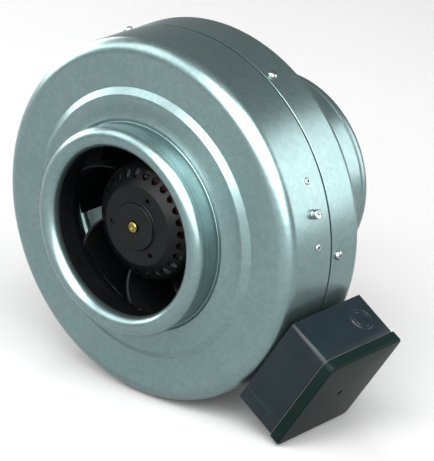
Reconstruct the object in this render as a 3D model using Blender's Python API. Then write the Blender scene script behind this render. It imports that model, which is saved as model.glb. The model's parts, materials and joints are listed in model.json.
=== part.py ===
"""Inline centrifugal duct fan, 200 mm nominal duct, with an external-rotor motor.

Frame: the origin is on the fan's axis at the seam between the two casing halves.
+Y is the way the air flows (inlet at -Y, outlet at +Y) and +Z is up. The fan lies on the
bottom of its drum and on the lower edge of its terminal box's lid.
Lengths are in millimetres, angles in degrees: the mesh builders turn them into metres.
Angles about the axis are counted from +X towards +Z.
"""

import math

import bmesh
import bpy
from mathutils import Matrix, Vector

MM = 0.001
GAP = 0.3                      # clearance between touching pieces

# Casing: two pressed sheet halves in a lap joint.
SHEET = 1.0
DRUM_R = 172.0
SPIGOT_R = 98.5
SPIGOT_ROOT_R = 97.0
LIP_R = 9.25                   # radius of the rolled-in lip
INLET_LIP_Y = -89.5            # centre of the inlet's roll
OUTLET_LIP_Y = 141.75
FRONT_FACE_Y = -60.8
FRONT_ROOT_Y = -69.0
FRONT_STEP_Y = -65.2
STEP_INNER_R = 121.6
STEP_OUTER_R = 128.4
FRONT_ROUND_R = 14.0
REAR_ROUND_R = 10.0
REAR_EDGE_Y = 33.0             # where the rear rounding starts
REAR_CONE_DEG = 50.0           # slope of the rear cone against the axis
OUTLET_ROOT_Y = 99.0
LAP_Y = 18.0                   # how far the front half reaches into the rear half
CASING_SEGMENTS = 40
DRUM_INNER_R = (DRUM_R - SHEET) * math.cos(math.pi / CASING_SEGMENTS)   # middle of a facet

# Terminal box, in its own axes: X away from the duct axis, Y along it, Z up its side.
LID_TOP_X = 230.0
LID_FRONT_Y = -56.8
LID_REAR_Y = 46.0
LID_HALF_WIDTH = 56.0
LID_HEIGHT = 11.0
LID_OVERHANG = 1.8
BOX_WALL = 2.5
BOX_BACK_X = DRUM_R + GAP
BOX_FLOOR_X = 176.0
GASKET = 1.0
BOX_MID_Y = (LID_FRONT_Y + LID_REAR_Y) / 2
KNOCKOUT_R = 12.0
KNOCKOUT_X = 195.0
KNOCKOUT_Y = 21.3
KNOCKOUT_RISE = 1.0            # how far the disc stands proud of the box's side
PILLAR_R = 5.0
LID_DRILL_R = 1.9
BOX_SCREW_YS = (-42.0, 24.0)
BOX_SCREW_HOLE_R = 2.2
EARTH_Y = 33.0
EARTH_SIDE = -28.0
EARTH_DRILL_X = 173.6          # bottom of the earth screw's blind hole
EARTH_DRILL_R = 2.1

# The box's angle that puts the drum and the lid's lower edge on one floor.
BOX_ANGLE = -(90.0 - math.degrees(
    math.acos(DRUM_R / math.hypot(LID_TOP_X, LID_HALF_WIDTH))
    + math.atan(LID_HALF_WIDTH / LID_TOP_X)))

# Fasteners.
SEAM_SCREWS = 6
SEAM_SCREW_ANGLE = BOX_ANGLE + 32.5
SEAM_SCREW_Y = 9.2
SEAM_HOLE_R = 2.3
SUPPORTS = 3
SUPPORT_ANGLE = BOX_ANGLE + 47.6
SUPPORT_BOLT_Y = -21.0
RIVET_SPREAD = 10.2            # degrees to either side of a bolt
BOLT_HOLE_R = 2.9
RIVET_HOLE_R = 1.9
HEAD_SEAT = DRUM_R + 0.35      # heads sit just clear of the drum

# Impeller and motor.
EYE_R = 84.8
IMPELLER_R = 110.5
BLADES = 7
BLADE_INNER_R = 60.0
BLADE_START = -11.7            # angle of the first blade's inner end
BLADE_SWEEP = (13.8, 38.5)     # degrees of sweep that grow with the way out and its square
BLADE_TIP_Y = -46.5            # front of a blade's inner end
BLADE_THICKNESS = 2.0
BACKPLATE_Y = 1.8
BACKPLATE_THICKNESS = 1.6
SHROUD_THICKNESS = 1.8
NOZZLE_R = 82.3
NOZZLE_REAR_Y = -74.0
NOZZLE_WALL = 1.5
ROTOR_R = 56.0
ROTOR_WALL = 2.0
VENTS = 26
VENT_CIRCLE_R = 48.0
VENT_R = 3.75
FACE_HOLES = 3
FACE_HOLE_CIRCLE_R = 30.0
FACE_HOLE_R = 2.2
FACE_HOLE_ANGLE = 65.5
CARRIER_REAR_Y = 5.0
CARRIER_R = 52.0
MOTOR_SCREW_CIRCLE_R = 41.0
SHAFT_R = 4.0
BEARING_R = 11.0
BEARING_WIDTH = 7.0
FRONT_BEARING_Y = -54.0
REAR_BEARING_Y = -10.0
BALL_CIRCLE_R = 7.5
BALL_R = 1.5
BALLS = 7

# Motor lead and its way into the terminal box.
LEAD_R = 3.0
LEAD_HOLE_Y = -25.0
GROMMET_NECK_R = 5.2
GROMMET_FLANGE_R = 7.2
LEAD_DRILL_R = 7.8             # hole in the box's floor round the grommet's flange
ARM_THICKNESS = 2.0
ARM_HALF_WIDTH = 11.0
ARM_INNER_R = 30.0
ARM_BEND_R = 5.0
ARM_LEG_R = 168.5

GALVANISED = ("galvanised sheet", (0.33, 0.42, 0.43), 0.38, 0.9)
ZINC_SCREW = ("zinc plated steel", (0.62, 0.62, 0.58), 0.30, 1.0)
STEEL = ("steel", (0.50, 0.51, 0.52), 0.35, 1.0)
BLACK_PLASTIC = ("black plastic", (0.020, 0.022, 0.024), 0.45, 0.0)
BOX_PLASTIC = ("terminal box plastic", (0.032, 0.043, 0.050), 0.38, 0.0)
ROTOR_PAINT = ("painted rotor", (0.055, 0.060, 0.062), 0.42, 0.3)
LAMINATION = ("laminated steel", (0.30, 0.30, 0.31), 0.50, 0.9)
COPPER = ("enamelled copper", (0.55, 0.22, 0.09), 0.35, 0.8)
ALUMINIUM = ("die-cast aluminium", (0.60, 0.61, 0.62), 0.45, 0.9)
BRASS = ("brass", (0.72, 0.52, 0.18), 0.30, 1.0)
RUBBER = ("rubber", (0.015, 0.015, 0.016), 0.70, 0.0)
WHITE_PLASTIC = ("white plastic", (0.62, 0.62, 0.58), 0.40, 0.0)
CABLE_GREY = ("cable sheath", (0.10, 0.10, 0.11), 0.50, 0.0)


# ---------------------------------------------------------------- scene and objects

def clear_scene():
    for old in list(bpy.data.objects):
        bpy.data.objects.remove(old, do_unlink=True)


def material(name, finish):
    """A Principled material of the piece's own, in one of the finishes above."""
    _, colour, roughness, metallic = finish
    made = bpy.data.materials.new(name)
    made.use_nodes = True
    shader = made.node_tree.nodes["Principled BSDF"]
    shader.inputs["Base Color"].default_value = (*colour, 1.0)
    shader.inputs["Roughness"].default_value = roughness
    shader.inputs["Metallic"].default_value = metallic
    return made


def add_object(name, bm, finish=None):
    """Turn a bmesh in millimetres into an object; without a finish it is a hidden cutter."""
    bmesh.ops.recalc_face_normals(bm, faces=bm.faces)
    bmesh.ops.scale(bm, vec=(MM, MM, MM), verts=bm.verts)
    mesh = bpy.data.meshes.new(name)
    bm.to_mesh(mesh)
    bm.free()
    mesh.shade_smooth()
    mesh.set_sharp_from_angle(angle=math.radians(35))
    made = bpy.data.objects.new(name, mesh)
    bpy.context.scene.collection.objects.link(made)
    if finish:
        mesh.materials.append(material(name, finish))
    else:
        made.hide_render = True
        made.display_type = "WIRE"
    return made


def place(made, angle=0.0, radius=0.0, y=0.0, side=0.0):
    """Turn an object about the duct axis and set it off by radius, y and side in its own axes."""
    turn = Matrix.Rotation(-math.radians(angle), 4, "Y")
    made.rotation_euler = (0.0, -math.radians(angle), 0.0)
    made.location = turn @ Vector((radius * MM, y * MM, side * MM))
    return made


def combine(target, other, operation):
    step = target.modifiers.new(operation.lower(), "BOOLEAN")
    step.operation = operation
    step.object = other
    step.solver = "EXACT"
    return target


def cut(target, *cutters):
    for cutter in cutters:
        combine(target, cutter, "DIFFERENCE")
    return target


# ---------------------------------------------------------------- mesh builders

def arc(centre, radius, start, end, steps):
    """Points (along, radius) on an arc; 0 points away from the axis, 90 along it."""
    points = []
    for i in range(steps + 1):
        a = math.radians(start + (end - start) * i / steps)
        points.append((centre[0] + radius * math.sin(a), centre[1] + radius * math.cos(a)))
    return points


def offset(path, distance):
    """A copy of an open path, moved sideways: towards the axis where the path runs along it."""
    moved = []
    for i, point in enumerate(path):
        before = path[max(i - 1, 0)]
        after = path[min(i + 1, len(path) - 1)]
        normals = []
        for a, b in ((before, point), (point, after)):
            step = Vector((b[0] - a[0], b[1] - a[1]))
            if step.length > 1e-6:
                normals.append(Vector((step.y, -step.x)).normalized())
        mean = sum(normals, Vector((0, 0))).normalized()
        reach = distance / max(mean.dot(normals[0]), 0.5)
        moved.append((point[0] + mean.x * reach, point[1] + mean.y * reach))
    return moved


def sheet(path, thickness):
    """Closed outline of a sheet whose outer side is the path."""
    return path + offset(path, thickness)[::-1]


def turned_mesh(outline, segments, axis="Y", sweep=360.0, start=0.0):
    """Spin a closed outline of (along, radius) points about an axis through the origin."""
    bm = bmesh.new()
    spin_axis = Vector((0, 1, 0)) if axis == "Y" else Vector((1, 0, 0))
    verts = []
    for along, radius in outline:
        spot = (radius, along, 0.0) if axis == "Y" else (along, radius, 0.0)
        verts.append(bm.verts.new(spot))
    face = bm.faces.new(verts)
    if sweep < 360.0:
        bmesh.ops.rotate(bm, verts=bm.verts, cent=(0, 0, 0),
                         matrix=Matrix.Rotation(-math.radians(start), 3, "Y"))
        bmesh.ops.spin(bm, geom=[face], cent=(0, 0, 0), axis=spin_axis,
                       angle=-math.radians(sweep), steps=segments)
    else:
        edges = face.edges[:]
        bmesh.ops.delete(bm, geom=[face], context="FACES_ONLY")
        bmesh.ops.spin(bm, geom=verts + edges, cent=(0, 0, 0), axis=spin_axis,
                       angle=2 * math.pi, steps=segments, use_merge=True)
    bmesh.ops.remove_doubles(bm, verts=bm.verts, dist=1e-4)
    return bm


def turned(name, outline, finish=None, segments=24, axis="Y"):
    return add_object(name, turned_mesh(outline, segments, axis), finish)


def pin(name, radius, x0, x1, segments):
    """A plain round bar or drill along X, as a hidden cutter."""
    outline = [(x0, 0), (x0, radius), (x1, radius), (x1, 0)]
    return turned(name, outline, None, segments, "X")


def rounded_rectangle(y0, y1, z0, z1, radius, steps=3):
    """Outline of (y, z) points with rounded corners."""
    points = []
    corners = ((y1 - radius, z1 - radius, 0), (y0 + radius, z1 - radius, 90),
               (y0 + radius, z0 + radius, 180), (y1 - radius, z0 + radius, 270))
    for cy, cz, begin in corners:
        for i in range(steps + 1):
            a = math.radians(begin + 90.0 * i / steps)
            points.append((cy + radius * math.cos(a), cz + radius * math.sin(a)))
    return points


def prism_mesh(outline, x0, x1, top_bevel=0.0):
    """Extrude an outline of (y, z) points along X, with a rounded edge round its x1 end."""
    bm = bmesh.new()
    face = bm.faces.new([bm.verts.new((x0, y, z)) for y, z in outline])
    grown = bmesh.ops.extrude_face_region(bm, geom=[face])
    top = [g for g in grown["geom"] if isinstance(g, bmesh.types.BMVert)]
    bmesh.ops.translate(bm, verts=top, vec=(x1 - x0, 0, 0))
    if top_bevel:
        rim = [e for e in bm.edges if all(abs(v.co.x - x1) < 1e-6 for v in e.verts)]
        bmesh.ops.bevel(bm, geom=rim, offset=top_bevel, segments=2, profile=0.5, affect="EDGES")
    return bm


def prism(name, outline, x0, x1, finish=None, top_bevel=0.0):
    return add_object(name, prism_mesh(outline, x0, x1, top_bevel), finish)


def merge(bm, other, matrix=None):
    """Add another bmesh's shape to bm."""
    temporary = bpy.data.meshes.new("merge")
    other.to_mesh(temporary)
    other.free()
    if matrix:
        temporary.transform(matrix)
    bm.from_mesh(temporary)
    bpy.data.meshes.remove(temporary)


def drills(name, holes, x0, x1, sides=8):
    """Radial drills as one cutter; each hole is (angle, y, radius)."""
    bm = bmesh.new()
    for angle, y, radius in holes:
        outline = [(x0, 0.0), (x0, radius), (x1, radius), (x1, 0.0)]
        turn = Matrix.Rotation(-math.radians(angle), 4, "Y") @ Matrix.Translation((0, y, 0))
        merge(bm, turned_mesh(outline, sides, "X"), turn)
    return add_object(name, bm)


def axial_drills(name, spots, radius, y0, y1, sides=6):
    """Drills along the duct axis as one cutter; each spot is (circle radius, angle)."""
    bm = bmesh.new()
    outline = [(y0, 0.0), (y0, radius), (y1, radius), (y1, 0.0)]
    for circle, angle in spots:
        shift = Vector((circle * math.cos(math.radians(angle)), 0,
                        circle * math.sin(math.radians(angle))))
        merge(bm, turned_mesh(outline, sides), Matrix.Translation(shift))
    return add_object(name, bm)


# ---------------------------------------------------------------- casing

def front_path():
    """Outer side of the front half, from the roll's end to the end of the lap."""
    path = arc((INLET_LIP_Y, SPIGOT_R - LIP_R), LIP_R, -200, 0, 6)
    path += [(FRONT_ROOT_Y - 1, SPIGOT_ROOT_R + 0.5), (FRONT_ROOT_Y + 1, SPIGOT_ROOT_R + 3)]
    path += [(FRONT_STEP_Y, STEP_INNER_R), (FRONT_STEP_Y + 0.6, STEP_INNER_R + 1.2)]
    path += [(FRONT_FACE_Y, STEP_OUTER_R)]
    centre = (FRONT_FACE_Y + FRONT_ROUND_R, DRUM_R - FRONT_ROUND_R)
    path += arc(centre, FRONT_ROUND_R, -90, 0, 4)
    lap_r = DRUM_R - SHEET - GAP
    path += [(-1.6, DRUM_R), (-0.4, lap_r), (LAP_Y, lap_r)]
    return path


def rear_path():
    """Outer side of the rear half, from the seam to the end of the outlet's roll."""
    path = [(0.0, DRUM_R)]
    path += arc((REAR_EDGE_Y, DRUM_R - REAR_ROUND_R), REAR_ROUND_R, 0, REAR_CONE_DEG, 3)
    path += [(OUTLET_ROOT_Y - 3, SPIGOT_ROOT_R + 4), (OUTLET_ROOT_Y + 2, SPIGOT_ROOT_R + 0.3)]
    path += arc((OUTLET_LIP_Y, SPIGOT_R - LIP_R), LIP_R, 0, 200, 6)
    return path


def seam_holes():
    return [(SEAM_SCREW_ANGLE + 360.0 / SEAM_SCREWS * i, SEAM_SCREW_Y, SEAM_HOLE_R)
            for i in range(SEAM_SCREWS)]


def support_angles():
    return [SUPPORT_ANGLE + 360.0 / SUPPORTS * i for i in range(SUPPORTS)]


def support_holes():
    holes = []
    for angle in support_angles():
        holes.append((angle, SUPPORT_BOLT_Y, BOLT_HOLE_R))
        holes.append((angle - RIVET_SPREAD, SUPPORT_BOLT_Y + 1, RIVET_HOLE_R))
        holes.append((angle + RIVET_SPREAD, SUPPORT_BOLT_Y + 1, RIVET_HOLE_R))
    return holes


def make_casing():
    front = turned("front_casing", sheet(front_path(), SHEET), GALVANISED, CASING_SEGMENTS)
    rear = turned("rear_casing", sheet(rear_path(), SHEET), GALVANISED, CASING_SEGMENTS)
    box_holes = [(BOX_ANGLE, y, BOX_SCREW_HOLE_R) for y in BOX_SCREW_YS]
    lead_hole = [(BOX_ANGLE, LEAD_HOLE_Y, GROMMET_NECK_R + 0.5)]
    holes = seam_holes() + support_holes() + box_holes + lead_hole
    wall = drills("wall_drills", holes, DRUM_R - 8, DRUM_R + 6)
    cut(front, wall)
    cut(rear, wall)


def make_inlet_nozzle():
    web_y = -78.0
    rim_r = SPIGOT_ROOT_R - SHEET - GAP
    outer = NOZZLE_R + NOZZLE_WALL
    rear = NOZZLE_REAR_Y
    outline = [(-86.0, NOZZLE_R + 0.4), (rear - 0.5, NOZZLE_R), (rear, NOZZLE_R + 0.7)]
    outline += [(rear - 0.5, outer), (web_y + NOZZLE_WALL, outer)]
    outline += [(web_y + NOZZLE_WALL, rim_r - 1.5)]
    outline += [(web_y + 5, rim_r - 1.5), (web_y + 5, rim_r), (web_y, rim_r)]
    outline += [(web_y, outer + 0.2), (-85.4, outer + 0.2)]
    turned("inlet_nozzle", outline, BLACK_PLASTIC, CASING_SEGMENTS)


def make_seam_screws():
    outline = [(DRUM_R - 6, 0), (DRUM_R - 5.4, 1.9), (HEAD_SEAT, 1.9), (HEAD_SEAT, 4.4)]
    outline += [(HEAD_SEAT + 1.4, 4.2), (HEAD_SEAT + 2.5, 3.0), (HEAD_SEAT + 2.9, 1.2)]
    outline += [(HEAD_SEAT + 2.9, 0)]
    for i, (angle, y, _) in enumerate(seam_holes()):
        place(turned(f"seam_screw_{i + 1}", outline, ZINC_SCREW, 12, "X"), angle, 0, y)


# ---------------------------------------------------------------- motor support

def make_support_arms():
    """Each arm is a bent strip from the motor to the drum, with a curved pad for its fixings."""
    pad_r = DRUM_INNER_R - GAP
    leg_r = ARM_LEG_R
    rear = CARRIER_REAR_Y + GAP + ARM_THICKNESS
    holes = drills("arm_drills", support_holes(), 160, 176)
    screw_spots = [(MOTOR_SCREW_CIRCLE_R, angle) for angle in support_angles()]
    motor_holes = axial_drills("arm_screw_drills", screw_spots, 2.4, 0, 20)
    bend = ARM_BEND_R
    path = [(ARM_INNER_R, rear), (leg_r - bend, rear)]
    path += [(leg_r - bend + bend * math.sin(math.radians(a)),
              rear - bend + bend * math.cos(math.radians(a))) for a in (30, 60)]
    path += [(leg_r, rear - bend), (leg_r, SUPPORT_BOLT_Y - 9)]
    inner = [(x - ARM_THICKNESS * (1 if y < rear - 1 else 0),
              y - ARM_THICKNESS * (0 if y < rear - bend + 0.1 else 1)) for x, y in path]
    for i, angle in enumerate(support_angles()):
        bm = bmesh.new()
        loop = [bm.verts.new((x, y, -ARM_HALF_WIDTH)) for x, y in path + inner[::-1]]
        face = bm.faces.new(loop)
        grown = bmesh.ops.extrude_face_region(bm, geom=[face])
        top = [g for g in grown["geom"] if isinstance(g, bmesh.types.BMVert)]
        bmesh.ops.translate(bm, verts=top, vec=(0, 0, 2 * ARM_HALF_WIDTH))
        arm = place(add_object(f"support_arm_{i + 1}", bm, GALVANISED), angle)
        low, high = SUPPORT_BOLT_Y - 10, SUPPORT_BOLT_Y + 12
        outline = [(low, 168.0), (low, pad_r), (high, pad_r), (high, 168.0)]
        spread = RIVET_SPREAD + 2.6
        pad_mesh = turned_mesh(outline, 8, "Y", 2 * spread, -spread)
        pad = place(add_object(f"arm_pad_{i + 1}", pad_mesh), angle)
        combine(arm, pad, "UNION")
        cut(arm, holes, motor_holes)


def make_support_fixings():
    bolt = [(162, 0), (162, 2.5), (HEAD_SEAT, 2.5), (HEAD_SEAT, 4.5)]
    bolt += [(HEAD_SEAT + 5.0, 4.5), (HEAD_SEAT + 5.5, 4.0), (HEAD_SEAT + 5.5, 0)]
    rivet = [(166.5, 0), (166.5, 1.5), (HEAD_SEAT, 1.5), (HEAD_SEAT, 3.0)]
    rivet += [(HEAD_SEAT + 0.6, 2.2), (HEAD_SEAT + 0.7, 1.0), (HEAD_SEAT - 0.6, 1.0)]
    rivet += [(HEAD_SEAT - 0.6, 0)]
    for i, angle in enumerate(support_angles()):
        made = turned(f"support_bolt_{i + 1}", bolt, STEEL, 16, "X")
        place(made, angle, 0, SUPPORT_BOLT_Y)
        for k, side in enumerate((-1, 1)):
            made = turned(f"support_rivet_{2 * i + k + 1}", rivet, ALUMINIUM, 10, "X")
            place(made, angle + side * RIVET_SPREAD, 0, SUPPORT_BOLT_Y + 1)


def make_motor_screws():
    seat = CARRIER_REAR_Y + GAP + ARM_THICKNESS + GAP
    outline = [(0.4, 0), (0.4, 2.0), (seat, 2.0), (seat, 3.9), (seat + 1.8, 3.5), (seat + 2.4, 0)]
    for i, angle in enumerate(support_angles()):
        made = turned(f"motor_screw_{i + 1}", outline, ZINC_SCREW, 12)
        place(made, angle, MOTOR_SCREW_CIRCLE_R)


# ---------------------------------------------------------------- motor, fixed pieces

def make_stator():
    rear = CARRIER_REAR_Y
    bore = BEARING_R + GAP
    outline = [(2.3, 0), (2.3, bore), (FRONT_BEARING_Y, bore), (FRONT_BEARING_Y, 17.7)]
    outline += [(-1.0, 17.7), (-1.0, CARRIER_R - 1), (0.0, CARRIER_R), (rear - 1, CARRIER_R)]
    outline += [(rear, CARRIER_R - 1), (rear, 0)]
    carrier = turned("stator_carrier", outline, ALUMINIUM, 32)
    spots = [(MOTOR_SCREW_CIRCLE_R, angle) for angle in support_angles()]
    cut(carrier, axial_drills("carrier_drills", spots, 2.4, -3, 20))
    core = [(-50, 18.1), (-50, 43.0), (-12, 43.0), (-12, 18.1)]
    turned("stator_core", core, LAMINATION, 32)
    front = [(-53.7, 21), (-53.7, 39), (-52.5, 41), (-50.3, 41), (-50.3, 20), (-52.5, 20)]
    turned("winding_front", front, COPPER, 24)
    back = [(-11.7, 20), (-11.7, 41), (-7, 41), (-5, 39), (-5, 22), (-7, 20)]
    turned("winding_rear", back, COPPER, 24)


def ring_outline(y, width, inner, outer):
    return [(y, inner), (y, outer), (y + width, outer), (y + width, inner)]


def make_bearings():
    for name, y in (("front", FRONT_BEARING_Y), ("rear", REAR_BEARING_Y)):
        outer = ring_outline(y, BEARING_WIDTH, BEARING_R - 1.6, BEARING_R)
        turned(f"{name}_bearing_outer", outer, STEEL, 20)
        inner = ring_outline(y, BEARING_WIDTH, SHAFT_R + GAP, SHAFT_R + 1.6)
        turned(f"{name}_bearing_inner", inner, STEEL, 20)
        middle = y + BEARING_WIDTH / 2
        band = ring_outline(middle - 1.1, 2.2, BALL_CIRCLE_R - 0.5, BALL_CIRCLE_R + 0.5)
        cage = turned(f"{name}_ball_cage", band, BRASS, 14)
        balls = bmesh.new()
        for i in range(BALLS):
            a = 2 * math.pi * (i + 0.5) / BALLS
            spot = Vector((BALL_CIRCLE_R * math.cos(a), middle, BALL_CIRCLE_R * math.sin(a)))
            bmesh.ops.create_uvsphere(balls, u_segments=6, v_segments=4, radius=BALL_R,
                                      matrix=Matrix.Translation(spot))
        combine(cage, add_object(f"{name}_balls", balls), "UNION")


# ---------------------------------------------------------------- rotor and impeller

def make_rotor_shell():
    """The motor's outer can, with a stepped face, three holes and a ring of vents."""
    outline = [(-66.6, 5.3), (-73.0, 5.3), (-73.0, 21.5), (-72.5, 22.4), (-69.9, 23.4)]
    outline += [(-68.9, 37.4), (-67.9, 39.2), (-58.6, 52.4), (-56.0, 55.0), (-53.0, ROTOR_R)]
    outline += [(-9.0, ROTOR_R), (-9.0, ROTOR_R - ROTOR_WALL), (-53.0, ROTOR_R - ROTOR_WALL)]
    outline += [(-55.6, 52.4), (-65.3, 38.8), (-67.0, 36.8), (-67.9, 24.6), (-70.8, 20.6)]
    outline += [(-71.0, 9.5), (-66.6, 9.5)]
    shell = turned("rotor_shell", outline, ROTOR_PAINT, CASING_SEGMENTS)
    vents = [(VENT_CIRCLE_R, 360.0 * i / VENTS + 3) for i in range(VENTS)]
    cut(shell, axial_drills("vent_drills", vents, VENT_R, -75, -54, 8))
    holes = [(FACE_HOLE_CIRCLE_R, FACE_HOLE_ANGLE + 120.0 * i) for i in range(FACE_HOLES)]
    cut(shell, axial_drills("face_drills", holes, FACE_HOLE_R, -75, -60))


def make_rotor_core():
    outer = ROTOR_R - ROTOR_WALL - GAP
    turned("rotor_core", [(-50, 44), (-50, outer), (-12, outer), (-12, 44)], LAMINATION, 48)


def make_shaft():
    groove = SHAFT_R - 0.8
    outline = [(-74.5, 0), (-74.5, 3.0), (-66, 3.0), (-66, SHAFT_R), (-2.8, SHAFT_R)]
    outline += [(-2.8, groove), (-1.6, groove), (-1.6, SHAFT_R), (1.0, SHAFT_R), (1.0, 0)]
    turned("shaft", outline, STEEL, 16)
    cap = [(-75.6, 0), (-75.6, 4.4), (-75.0, 5.0), (-66.4, 5.0), (-66.4, 3.3), (-74.8, 3.3)]
    turned("shaft_end_cap", cap + [(-74.8, 0)], BRASS, 16)
    ring = [(-2.5, groove + GAP), (-2.5, 6.5), (-1.9, 6.5), (-1.9, groove + GAP)]
    turned("retaining_ring", ring, STEEL, 16)


def shroud_path():
    """Inner side of the shroud, from the eye to the rim."""
    return [(-72.6, EYE_R), (-64.0, EYE_R), (-58.0, 86.5), (-50.0, 91.5), (-40.0, 99.5),
            (-32.0, 105.6), (-27.0, IMPELLER_R)]


def backplate_path():
    """Front side of the backplate, from its collar to the rim."""
    return [(-11.0, ROTOR_R + 2.2), (-4.5, 64.0), (0.5, 74.0), (BACKPLATE_Y, 80.0),
            (BACKPLATE_Y, IMPELLER_R)]


def height_at(path, radius):
    """The y of a path at a radius."""
    for (y0, r0), (y1, r1) in zip(path, path[1:]):
        if r0 <= radius <= r1 and r1 > r0:
            return y0 + (y1 - y0) * (radius - r0) / (r1 - r0)
    return path[-1][0]


def blade_mesh():
    """A backward-curved blade, whose front edge slopes up from its inner end to the eye."""
    bm = bmesh.new()
    stations = 10
    outer = IMPELLER_R - 1.5
    front_path = [(BLADE_TIP_Y, BLADE_INNER_R), (-61.0, EYE_R - 0.3)]
    front_path += [(y + 1.0, r) for y, r in shroud_path()[2:]]
    rows = []
    for i in range(stations + 1):
        share = i / stations
        radius = BLADE_INNER_R + (outer - BLADE_INNER_R) * share
        angle = math.radians(BLADE_SWEEP[0] * share + BLADE_SWEEP[1] * share ** 2)
        turning = math.radians(BLADE_SWEEP[0] + 2 * BLADE_SWEEP[1] * share)
        radial = Vector((math.cos(angle), 0, math.sin(angle)))
        tangent = Vector((-math.sin(angle), 0, math.cos(angle)))
        along = radial * (outer - BLADE_INNER_R) + tangent * radius * turning
        across = Vector((-along.z, 0, along.x)).normalized() * BLADE_THICKNESS / 2
        row = []
        for side, is_back in ((1, False), (1, True), (-1, True), (-1, False)):
            spot = radial * radius + across * side
            spot.y = height_at(front_path, spot.length)
            if is_back:
                spot.y = height_at(backplate_path(), radius) - GAP - 0.5
            row.append(bm.verts.new(spot))
        rows.append(row)
    bm.faces.new(rows[0])
    bm.faces.new(rows[-1])
    for near, far in zip(rows, rows[1:]):
        for k in range(4):
            bm.faces.new((near[k], near[(k + 1) % 4], far[(k + 1) % 4], far[k]))
    return bm


def make_impeller():
    collar = ROTOR_R + GAP + 0.1
    front = backplate_path()
    outline = [(-24, collar), (-24, front[0][1])] + front
    outline += [(y + BACKPLATE_THICKNESS, r - 0.3) for y, r in front[:0:-1]]
    outline += [(front[0][0] + 2.6, collar)]
    turned("impeller_backplate", outline, BLACK_PLASTIC, CASING_SEGMENTS)
    ring = shroud_path() + offset(shroud_path(), -SHROUD_THICKNESS)[::-1]
    turned("impeller_shroud", ring, BLACK_PLASTIC, CASING_SEGMENTS)
    for i in range(BLADES):
        blade = add_object(f"impeller_blade_{i + 1}", blade_mesh(), BLACK_PLASTIC)
        place(blade, BLADE_START + 360.0 * i / BLADES)


# ---------------------------------------------------------------- terminal box

def make_box_base():
    """A flat-backed tray that touches the drum along one line."""
    side = LID_HALF_WIDTH - LID_OVERHANG
    y0, y1 = LID_FRONT_Y + LID_OVERHANG, LID_REAR_Y - LID_OVERHANG
    top = LID_TOP_X - LID_HEIGHT - 2 * GAP - GASKET
    outer = rounded_rectangle(y0, y1, -side, side, 4.0)
    base = prism("terminal_box_base", outer, BOX_BACK_X, top, BOX_PLASTIC)
    wall = BOX_WALL
    inner = rounded_rectangle(y0 + wall, y1 - wall, -side + wall, side - wall, 2.0)
    hollow = prism("box_hollow", inner, BOX_FLOOR_X, top + 5)
    pillar = pin("box_pillar", PILLAR_R, BOX_FLOOR_X - 1, top - 0.5, 12)
    rise = side + KNOCKOUT_RISE
    knockout = turned("knockout_disc", [(side - 1, 0), (side - 1, KNOCKOUT_R),
                                        (rise - 0.4, KNOCKOUT_R), (rise, KNOCKOUT_R - 0.4),
                                        (rise, 0)], None, 24, "X")
    bore = pin("pillar_drill", LID_DRILL_R, top - 22, top + 2, 10)
    lead = pin("lead_drill", LEAD_DRILL_R, BOX_BACK_X - 5, BOX_FLOOR_X + 5, 16)
    earth = pin("earth_drill", EARTH_DRILL_R, EARTH_DRILL_X, BOX_FLOOR_X + 5, 10)
    cut(base, place(hollow, BOX_ANGLE))
    combine(base, place(pillar, BOX_ANGLE, 0, BOX_MID_Y), "UNION")
    turn = Matrix.Rotation(-math.radians(BOX_ANGLE), 4, "Y")
    knockout.matrix_world = (turn @ Matrix.Translation(Vector((KNOCKOUT_X, KNOCKOUT_Y, 0)) * MM)
                             @ Matrix.Rotation(-math.pi / 2, 4, "Y"))
    combine(base, knockout, "UNION")
    screw_spots = [(BOX_ANGLE, y, BOX_SCREW_HOLE_R) for y in BOX_SCREW_YS]
    screw_holes = drills("base_drills", screw_spots, BOX_BACK_X - 5, BOX_FLOOR_X + 5)
    cut(base, place(bore, BOX_ANGLE, 0, BOX_MID_Y), place(lead, BOX_ANGLE, 0, LEAD_HOLE_Y),
        screw_holes, place(earth, BOX_ANGLE, 0, EARTH_Y, EARTH_SIDE))
    place(base, BOX_ANGLE)
    return top


def make_gasket(base_top):
    side = LID_HALF_WIDTH - LID_OVERHANG - 0.2
    y0, y1 = LID_FRONT_Y + LID_OVERHANG + 0.2, LID_REAR_Y - LID_OVERHANG - 0.2
    width = BOX_WALL - 0.4
    outer = rounded_rectangle(y0, y1, -side, side, 3.8)
    inner = rounded_rectangle(y0 + width, y1 - width, -side + width, side - width, 2.0)
    low = base_top + GAP
    gasket = prism("box_gasket", outer, low, low + GASKET, RUBBER)
    window = prism("gasket_window", inner, low - 2, low + GASKET + 2)
    cut(gasket, place(window, BOX_ANGLE))
    place(gasket, BOX_ANGLE)


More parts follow.
